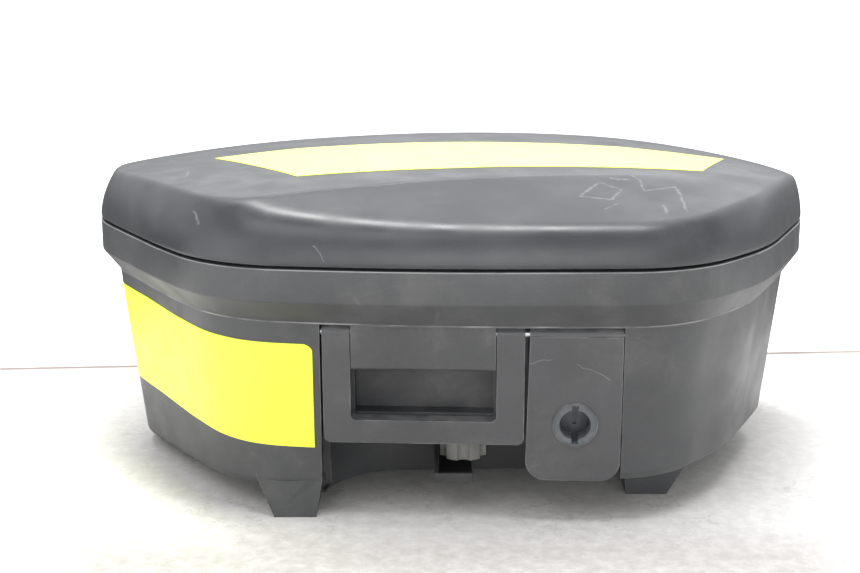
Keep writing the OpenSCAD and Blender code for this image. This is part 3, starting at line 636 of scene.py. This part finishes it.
class Tree:
    """Short-hand for building a node material."""

    def __init__(self, name):
        self.mat = bpy.data.materials.new(name)
        self.mat.use_nodes = True
        self.nodes = self.mat.node_tree.nodes
        self.links = self.mat.node_tree.links
        self.nodes.clear()
        out = self.nodes.new("ShaderNodeOutputMaterial")
        self.bsdf = self.nodes.new("ShaderNodeBsdfPrincipled")
        self.links.new(self.bsdf.outputs[0], out.inputs[0])
        self.place = self.nodes.new("ShaderNodeTexCoord").outputs["Object"]

    def put(self, socket, value):
        """Links or sets an input."""
        if isinstance(value, bpy.types.NodeSocket):
            self.links.new(value, socket)
        else:
            socket.default_value = value

    def node(self, kind, inputs=(), **props):
        n = self.nodes.new(kind)
        for key, value in props.items():
            setattr(n, key, value)
        for key, value in dict(inputs).items():
            self.put(n.inputs[key], value)
        return n

    def math(self, how, a, b=0.0, clamp=False):
        n = self.node("ShaderNodeMath", {0: a, 1: b}, operation=how, use_clamp=clamp)
        return n.outputs[0]

    def times(self, first, *others):
        """Product of values and masks."""
        for other in others:
            first = self.math("MULTIPLY", first, other)
        return first

    def top_of(self, first, *others):
        """The greatest of several masks."""
        for other in others:
            first = self.math("MAXIMUM", first, other)
        return first

    def axes(self):
        """X, Y and Z of the place in the piece's own frame."""
        return self.node("ShaderNodeSeparateXYZ", {0: self.place}).outputs

    def noise(self, scale, detail=4.0, rough=0.5, place=None):
        inputs = {"Vector": place or self.place, "Scale": scale, "Detail": detail, "Roughness": rough}
        return self.node("ShaderNodeTexNoise", inputs).outputs[0]

    def stretch(self, scale, turn=(0, 0, 0)):
        n = self.node("ShaderNodeMapping", {"Vector": self.place, "Rotation": turn, "Scale": scale})
        return n.outputs[0]

    def span(self, value, low, high, to_low=0.0, to_high=1.0):
        """Smooth step from to_low, where value is low, to to_high, where it is high."""
        inputs = {"Value": value, "From Min": low, "From Max": high, "To Min": to_low, "To Max": to_high}
        return self.node("ShaderNodeMapRange", inputs, interpolation_type="SMOOTHSTEP").outputs[0]

    def blend(self, factor, a, b):
        n = self.node("ShaderNodeMix", data_type="RGBA")
        self.put(n.inputs["Factor"], factor)
        for socket, value in ((n.inputs[6], a), (n.inputs[7], b)):
            self.put(socket, (*value, 1.0) if isinstance(value, tuple) and len(value) == 3 else value)
        return n.outputs[2]

    def edges(self, radius):
        """1 along edges and 0 on flat surfaces."""
        bevel = self.node("ShaderNodeBevel", {"Radius": radius * MM}, samples=4)
        flat = self.node("ShaderNodeNewGeometry").outputs["Normal"]
        n = self.node("ShaderNodeVectorMath", {0: bevel.outputs[0], 1: flat}, operation="DOT_PRODUCT")
        return self.span(n.outputs["Value"], 0.99, 0.86)

    def scratches(self, scale, turn, width, share):
        """Thin straight broken lines along one direction."""
        inputs = {"Vector": self.stretch((0.05, 1.0, 1.0), turn), "Scale": scale}
        cells = self.node("ShaderNodeTexVoronoi", inputs, feature="DISTANCE_TO_EDGE")
        thin = self.span(cells.outputs["Distance"], width, 0.0)
        broken = self.span(self.noise(scale * 0.3, 2.0), 1 - share, 1 - share + 0.06)
        return self.math("MULTIPLY", thin, broken)

    def stroke(self, axes, points, width):
        """Line drawn through points, in millimetres, on the plane of two axes such as "XY"."""
        split = self.axes()
        wobble = self.span(self.noise(70, 2), 0.3, 0.7, -1.0 * MM, 1.0 * MM)
        u, v = (self.math("ADD", split[c], wobble) for c in axes)
        mask = 0.0
        for (ax, ay), (bx, by) in zip(points, points[1:]):
            dx, dy = (bx - ax) * MM, (by - ay) * MM
            px, py = self.math("SUBTRACT", u, ax * MM), self.math("SUBTRACT", v, ay * MM)
            dot = self.math("ADD", self.times(px, dx), self.times(py, dy))
            t = self.math("DIVIDE", dot, dx * dx + dy * dy, True)
            ex = self.math("SUBTRACT", px, self.times(t, dx))
            ey = self.math("SUBTRACT", py, self.times(t, dy))
            far = self.math("SQRT", self.math("ADD", self.times(ex, ex), self.times(ey, ey)))
            mask = self.math("MAXIMUM", mask, self.span(far, width * 1.3 * MM, 0.0))
        return mask

    def facing_up(self):
        """Z of the surface normal in the piece's own frame."""
        normal = self.node("ShaderNodeTexCoord").outputs["Normal"]
        return self.node("ShaderNodeSeparateXYZ", {0: normal}).outputs["Z"]

    def level(self, z, half):
        """Band about the height z that fades out half a width from it, in millimetres."""
        off = self.math("ABSOLUTE", self.math("SUBTRACT", self.axes()["Z"], z * MM))
        return self.span(off, half * MM, half * 0.4 * MM)

    def bump(self, height, strength, distance):
        """Adds a bump on top of those that are there."""
        n = self.node("ShaderNodeBump", {"Height": height, "Strength": strength, "Distance": distance * MM})
        if self.bsdf.inputs["Normal"].links:
            self.links.new(self.bsdf.inputs["Normal"].links[0].from_socket, n.inputs["Normal"])
        self.links.new(n.outputs[0], self.bsdf.inputs["Normal"])

    def finish(self, color, rough, metallic=0.0):
        """Sets the surface and returns the material."""
        self.put(self.bsdf.inputs["Base Color"], (*color, 1.0) if isinstance(color, tuple) else color)
        self.put(self.bsdf.inputs["Roughness"], rough)
        self.put(self.bsdf.inputs["Metallic"], metallic)
        return self.mat


def slot_color(name):
    return tuple(next(m for m in RECORD["materials"] if m["slot"] == name)["base_color"])


def scaled(color, k):
    return tuple(c * k for c in color)


PALE = (0.30, 0.30, 0.30)  # rubbed and scratched plastic
# Pale colour for scuffs, dust on upward faces and painted highlight lines
SCUFF_AND_HIGHLIGHT = (0.42, 0.42, 0.42)
DUST = (0.34, 0.33, 0.31)
# Near black, for the painted shade in the tub's hollow and the darker low part of the hand pocket
NEAR_BLACK = (0.006, 0.007, 0.009)


def plastic(name, rough, grain, wear, dust, tone, scuffs_and_highlights=None, darkening=None):
    """Moulded plastic with grain, mottling, fine scratches, rubbed edges, dust, pale marks (some of them painted
    highlights) and near-black darkening (some of it painted shade).
    """
    t = Tree(name)
    base = scaled(slot_color(name), tone)
    cloud = t.noise(9, 5, 0.6)
    color = t.blend(t.span(cloud, 0.35, 0.7), scaled(base, 0.86), scaled(base, 1.18))
    fine = t.noise(1400, 3, 0.6)
    color = t.blend(t.span(fine, 0.4, 0.75, 0.0, 0.35), color, scaled(base, 1.7))
    scratch = t.top_of(t.scratches(70, (0.1, 0.35, 0.25), 0.006, 0.44),
                       t.scratches(55, (0.3, -0.6, -0.5), 0.005, 0.40))
    rub = t.times(t.edges(1.2), t.span(t.noise(60, 4), 0.35, 0.65))
    color = t.blend(t.times(scratch, 0.09), color, PALE)
    color = t.blend(t.times(rub, wear), color, PALE)
    haze = t.span(t.noise(22, 6, 0.65), 0.45, 0.8, 0.0, dust)
    color = t.blend(haze, color, DUST)
    # Pale marks: scuffs, dust, and painted highlight lines on edges and the lid's crease
    if scuffs_and_highlights:
        color = t.blend(scuffs_and_highlights(t), color, SCUFF_AND_HIGHLIGHT)
    # Near-black darkening, such as painted shade in the tub's hollow
    if darkening:
        color = t.blend(darkening(t), color, NEAR_BLACK)
    r = t.span(t.noise(30, 4), 0.3, 0.7, rough - 0.05, rough + 0.07)
    r = t.math("ADD", r, t.times(scratch, 0.15), True)
    t.bump(fine, 0.12 * grain, 0.12)
    t.bump(t.noise(420, 2), 0.10 * grain, 0.2)
    return t.finish(color, r)


def crease_y(x):
    """Y at which the lid bends most between its front facet and the panels behind."""

    def bend(y):
        return lid_height(x, y - 3) + lid_height(x, y + 3) - 2 * lid_height(x, y)

    return min(range(-165, 60), key=bend)


def lid_scuffs_and_crease_highlight(t):
    """Pale scribbled scuffs on the right of the front facet and a few short ones on the left, and a painted
    highlight line along the crease.
    """
    lines = [
        ([(90, -135), (105, -110), (120, -120), (110, -140), (90, -135)], 1.3),
        ([(115, -145), (105, -155)], 0.9),
        ([(130, -90), (135, -100), (135, -120), (160, -105), (160, -155)], 1.3),
        ([(115, -100), (125, -100)], 2.4),
        ([(145, -145), (145, -160)], 1.4),
        ([(-190, -50), (-190, -70)], 0.7),
        ([(-205, -75), (-185, -80)], 0.6),
        ([(-175, -140), (-170, -150)], 0.8),
    ]
    worn = t.span(t.noise(260, 3), 0.32, 0.6, 0.25, 1.0)
    top = t.times(t.top_of(*(t.stroke("XY", *line) for line in lines)), worn)
    # Painted highlight along the crease between the front facet and the panels behind
    crease = t.stroke("XY", [(x, crease_y(x)) for x in range(-125, 231, 40)], 1.0)
    top = t.top_of(top, t.times(crease, t.span(worn, 0.2, 1.0, 0.25, 0.5)))
    top = t.times(top, t.math("GREATER_THAN", t.facing_up(), 0.3))
    front = t.stroke("XZ", [(-90, 200), (-85, 195), (-83, 190)], 0.5)
    front = t.times(front, t.math("LESS_THAN", t.axes()["Y"], -0.15))
    return t.times(t.top_of(top, front), 0.24)


def tub_painted_highlights(t):
    """Painted pale highlight lines on the rim's top edge and at the foot of the chamfer."""
    rim = t.times(t.level(RIM_Z - 0.4, 0.9), t.span(t.noise(35, 4), 0.25, 0.6, 0.15, 0.5))
    foot = t.times(t.level(WALL_TOP_Z - 0.3, 0.7), t.span(t.noise(28, 5), 0.4, 0.7, 0.05, 0.5))
    return t.top_of(t.times(rim, t.math("LESS_THAN", t.facing_up(), 0.8)), foot)


def hollow_painted_shade(t):
    """Painted shade in the hollow that holds the knob and the hook, fading out to its left."""
    x, y, z = t.axes()
    left, right = BAY_X[0] * MM, BAY_X[1] * MM
    return t.times(t.span(x, left + 0.0014, left + 0.0684), t.math("LESS_THAN", x, right + 0.0007),
                   t.math("GREATER_THAN", y, -0.160), t.math("LESS_THAN", y, CAVITY_Y * MM + 0.0015),
                   t.math("LESS_THAN", z, CAVITY_Z * MM + 0.001), 0.93)


def pocket_darkening(t):
    """Darker low in the hand pocket, less of it to the right."""
    x, _, z = t.axes()
    low = t.times(t.span(z, 0.113, 0.108), t.span(t.noise(30, 4), 0.3, 0.7, 0.25, 0.75))
    return t.times(low, t.span(x, 0.045, 0.0, 0.3, 1.0))


def handle_marks(t):
    """Faint scratches on the release flap, and dust on what faces up."""
    lines = [([(55, 118), (70, 121)], 0.4), ([(85, 116), (95, 113), (108, 106)], 0.4)]
    on_face = t.math("LESS_THAN", t.axes()["Y"], -0.17)
    drawn = t.times(t.top_of(*(t.stroke("XZ", *line) for line in lines)), on_face, 0.2)
    dusty = t.times(t.span(t.facing_up(), 0.35, 0.9), t.span(t.noise(90, 4), 0.3, 0.7, 0.04, 0.22))
    return t.top_of(drawn, dusty)


def metal(slot_name, rough, tint=1.0, worn=0.3, metallic=1.0):
    """Brushed metal with duller patches."""
    t = Tree(slot_name)
    base = slot_color(slot_name)
    tone = t.noise(70, 4, 0.6)
    color = t.blend(t.span(tone, 0.3, 0.7), scaled(base, 0.75 * tint), scaled(base, 1.1 * tint))
    dull = t.span(t.noise(240, 5, 0.7), 0.5, 0.75, 0.0, worn)
    color = t.blend(dull, color, scaled(base, 0.35))
    brushed = t.noise(300, 3, 0.5, t.stretch((1, 1, 0.06)))
    r = t.span(brushed, 0.3, 0.7, rough - 0.08, rough + 0.12)
    t.bump(brushed, 0.1, 0.1)
    return t.finish(color, r, metallic)


def painted(name, rough, coat):
    """Coated steel with chipped edges."""
    t = Tree(name)
    base = slot_color(name)
    cloud = t.noise(60, 4)
    color = t.blend(t.span(cloud, 0.3, 0.7), scaled(base, 0.8), scaled(base, 1.3))
    chip = t.times(t.edges(0.8), t.span(t.noise(200, 4), 0.5, 0.62))
    color = t.blend(t.times(chip, 0.7), color, (0.35, 0.35, 0.36))
    t.bump(t.noise(500, 3), 0.08, 0.1)
    t.bsdf.inputs["Coat Weight"].default_value = coat
    return t.finish(color, t.span(cloud, 0.3, 0.7, rough, rough + 0.1))


def film(coat, white):
    """Fluorescent reflective film with a fine bead pattern and a painted yellow glow; its sheen and white stop at
    the rim.
    """
    t = Tree("yellow_film")
    base = slot_color("yellow_film")
    beads = t.node("ShaderNodeTexVoronoi", {"Vector": t.place, "Scale": 620.0}).outputs["Distance"]
    color = t.blend(t.span(beads, 0.2, 0.7, 0.0, 0.22), base, scaled(base, 0.72))
    dirt = t.span(t.noise(40, 6, 0.65), 0.52, 0.85, 0.0, 0.35)
    color = t.blend(dirt, color, (0.55, 0.6, 0.1))
    # Painted glow: a fixed yellow emission stands in for the film's fluorescence
    t.put(t.bsdf.inputs["Emission Color"], (0.82, 1.0, 0.02, 1.0))
    t.bsdf.inputs["Emission Strength"].default_value = 0.16
    rim = t.edges(1.6)
    within = t.math("SUBTRACT", 1.0, rim)
    color = t.blend(t.times(within, white), color, (0.95, 0.96, 0.9))
    t.put(t.bsdf.inputs["Coat Weight"], t.times(within, coat))
    t.bsdf.inputs["Coat Roughness"].default_value = 0.3
    t.bump(beads, 0.05, 0.1)
    r = t.span(t.noise(50, 3), 0.3, 0.7, 0.30, 0.42)
    return t.finish(color, t.math("ADD", r, t.times(rim, 0.4), True))


def rubber():
    """Soft matt rubber."""
    t = Tree("seal_rubber")
    base = slot_color("seal_rubber")
    color = t.blend(t.span(t.noise(50, 5), 0.3, 0.75), base, scaled(base, 2.2))
    t.bump(t.noise(600, 3), 0.15, 0.15)
    return t.finish(color, 0.75)


# By material slot, or by node where a node differs from its slot
MATERIALS = {
    "tub_plastic": plastic("tub_plastic", 0.40, 1.0, 0.40, 0.10, 0.84, tub_painted_highlights, hollow_painted_shade),
    "lid_plastic": plastic("lid_plastic", 0.33, 0.6, 0.25, 0.05, 0.72, lid_scuffs_and_crease_highlight),
    "moulded_plastic": plastic("moulded_plastic", 0.48, 1.0, 0.40, 0.22, 1.3, None, pocket_darkening),
    "handle_plastic": plastic("handle_plastic", 0.42, 0.8, 0.60, 0.10, 1.1, handle_marks),
    "knob_plastic": plastic("knob_plastic", 0.50, 1.2, 0.30, 0.15, 0.42),
    "seal_rubber": rubber(),
    "yellow_film": film(0.15, 0.0),
    "lid_sticker": film(0.7, 0.08),
    "black_steel": painted("black_steel", 0.3, 0.1),
    "black_hinge": painted("black_hinge", 0.35, 0.3),
    "brass": metal("brass", 0.3),
    "lock_metal": metal("lock_metal", 0.5, 0.27, 0.3, 0.2),
    "lock_cam": metal("lock_metal", 0.36, 0.16, 0.4, 0.7),
    "zinc_steel": metal("zinc_steel", 0.28),
}


def paint(obj, name):
    obj.data.materials.clear()
    obj.data.materials.append(MATERIALS[name])


# ---------------------------------------------------------------- pieces

for skin in (build_lid(), build_tub(), build_lid_film(), build_side_film()):
    paint(skin, "lid_sticker" if skin.name == "lid_film" else skin["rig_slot"])

# Widths of the rounded edges in millimetres
EDGE_WIDTH = {
    "handle_tray": 0.6,
    "cover_plate": 0.6,
    "carry_handle": 1.6,
    "release_flap": 1.0,
    "latch_cover": 1.0,
    "rack_hook": 0.7,
    "clamp_knob": 1.2,
    "lock_ring": 0.3,
}
for part in RECORD["subparts"]:
    name = part["node"]
    node = NODES[name]
    paint(node, name if name in MATERIALS else part["material_slot"])
    if name.endswith("_spring") or name == "lid_seal":
        weld(node)
        smooth(node)
    else:
        soften(node, EDGE_WIDTH.get(name, 0.35))

# ---------------------------------------------------------------- studio


WALL_TURN = 0.073  # slope of the wall behind the case against x
FLOOR_SIZE = 30000


def ground():
    """Pale worn floor, with a brown line and a whiter area where the wall behind the case starts; painted shade
    darkens it in front of the case and painted light whitens it beside the case.
    """
    corners_xy = ((-1, -1), (1, -1), (1, 1), (-1, 1))
    floor = new_object("floor", [Vector((x, y, 0)) * FLOOR_SIZE for x, y in corners_xy], [(0, 1, 2, 3)])
    t = Tree("floor")
    x, y, _ = t.axes()
    depth = t.math("SUBTRACT", y, t.times(x, WALL_TURN))
    back = t.span(depth, 0.2375, 0.2395)
    join = t.times(t.span(depth, 0.2320, 0.2340), t.span(depth, 0.2415, 0.2395))
    join = t.times(join, t.span(t.noise(7, 4, 0.6), 0.25, 0.6, 0.5, 0.95))
    speck = t.span(t.noise(90, 8, 0.7), 0.3, 0.8)
    cream = t.blend(speck, (0.60, 0.585, 0.57), (0.76, 0.75, 0.735))
    crack = t.math("ABSOLUTE", t.math("SUBTRACT", t.noise(6, 6, 0.6), 0.5))
    cream = t.blend(t.times(t.span(crack, 0.006, 0.001), 0.3), cream, (0.36, 0.33, 0.30))
    grit = t.span(t.noise(700, 2), 0.70, 0.76, 0.0, 0.4)
    cream = t.blend(grit, cream, (0.32, 0.29, 0.26))
    # Painted shade: the floor is darker in front of the case
    in_front = t.span(y, -0.15, -0.24)
    cream = t.blend(in_front, cream, t.blend(speck, (0.40, 0.38, 0.365), (0.56, 0.545, 0.53)))
    # Painted light: the floor is whiter beside the case, where the case's soft shadows would fall
    beside_painted_light = t.span(t.math("ABSOLUTE", x), 0.22, 0.36)
    cream = t.blend(t.times(beside_painted_light, 0.7), cream, (0.90, 0.885, 0.87))
    away = t.node("ShaderNodeVectorMath", {0: t.place}, operation="LENGTH").outputs["Value"]
    back = t.top_of(back, t.span(away, 0.9, 2.0))
    color = t.blend(back, cream, (0.97, 0.97, 0.97))
    color = t.blend(join, color, (0.36, 0.29, 0.25))
    floor.data.materials.append(t.finish(color, 0.6))
    t.put(t.bsdf.inputs["Emission Color"], (1, 1, 1, 1))
    t.put(t.bsdf.inputs["Emission Strength"], t.times(t.math("SUBTRACT", back, join, True), 0.5))


def room():
    """White surroundings for the camera, dimmer ones for the light that falls on the case."""
    world = bpy.data.worlds.new("studio")
    world.use_nodes = True
    tree = world.node_tree
    eye = tree.nodes.new("ShaderNodeLightPath").outputs["Is Camera Ray"]
    span = tree.nodes.new("ShaderNodeMapRange")
    for socket, value in zip(("To Min", "To Max"), (0.58, 1.05)):
        span.inputs[socket].default_value = value
    tree.links.new(eye, span.inputs["Value"])
    tree.links.new(span.outputs[0], tree.nodes["Background"].inputs[1])
    tree.nodes["Background"].inputs[0].default_value = (0.965, 0.98, 1.0, 1.0)
    bpy.context.scene.world = world


CARD_Y = 252.0
CARD_SIZE = (2500, 3000)  # half its width, and its height


def wall_card():
    """Stands for the white wall close behind the case: seen in its sheen, not by the camera."""
    half, height = CARD_SIZE
    to = Matrix.Translation((0, CARD_Y, 0)) @ Matrix.Rotation(math.atan(WALL_TURN), 4, "Z")
    outline = ((-half, 0), (half, 0), (half, height), (-half, height))
    card = new_object("wall_card", [to @ Vector((x, 0, z)) for x, z in outline], [(0, 1, 2, 3)])
    t = Tree("wall_card")
    x, _, z = t.axes()
    glow = t.math("ADD", t.span(z, 0.19, 0.34, 0.25, 1.5), t.span(z, 0.5, 1.2, 0.0, 0.6))
    glow = t.times(glow, t.span(x, -0.8, 0.1, 0.72, 1.1))
    t.put(t.bsdf.inputs["Emission Color"], (0.97, 0.98, 1.0, 1.0))
    t.put(t.bsdf.inputs["Emission Strength"], glow)
    card.data.materials.append(t.finish((0.02, 0.02, 0.02), 0.9))
    card.visible_camera = False
    card.visible_shadow = False


def softbox(name, at, to, size, power):
    """Rectangular area light at one point, in metres, that faces another."""
    data = bpy.data.lights.new(name, "AREA")
    data.shape = "RECTANGLE"
    data.size, data.size_y = size
    data.energy = power
    light = bpy.data.objects.new(name, data)
    light.location = at
    light.rotation_euler = (Vector(to) - Vector(at)).to_track_quat("-Z", "Y").to_euler()
    bpy.context.scene.collection.objects.link(light)


def camera():
    """Camera at the photograph's viewing angle."""
    data = bpy.data.cameras.new("camera")
    data.sensor_width = 36.0
    data.lens = 64.8
    cam = bpy.data.objects.new("camera", data)
    cam.location = (-0.0132, -1.180, 0.412)
    cam.rotation_euler = (math.radians(76.5), 0, 0)
    bpy.context.scene.collection.objects.link(cam)
    bpy.context.scene.camera = cam


ground()
room()
wall_card()
softbox("key", (-0.9, -1.6, 1.9), (0, 0, 0.1), (1.6, 1.0), 13)
softbox("fill", (1.5, -1.2, 1.2), (0, 0, 0.1), (1.2, 1.2), 3)
softbox("front", (0.2, -2.3, 0.55), (0, 0, 0.1), (2.4, 0.7), 16)
softbox("left", (-1.6, -1.0, 0.35), (-0.2, -0.1, 0.13), (1.6, 1.1), 9)
softbox("top", (-0.1, -0.1, 2.0), (0, 0, 0.1), (2.2, 0.36), 56)
camera()
bpy.context.scene.view_settings.view_transform = "Standard"
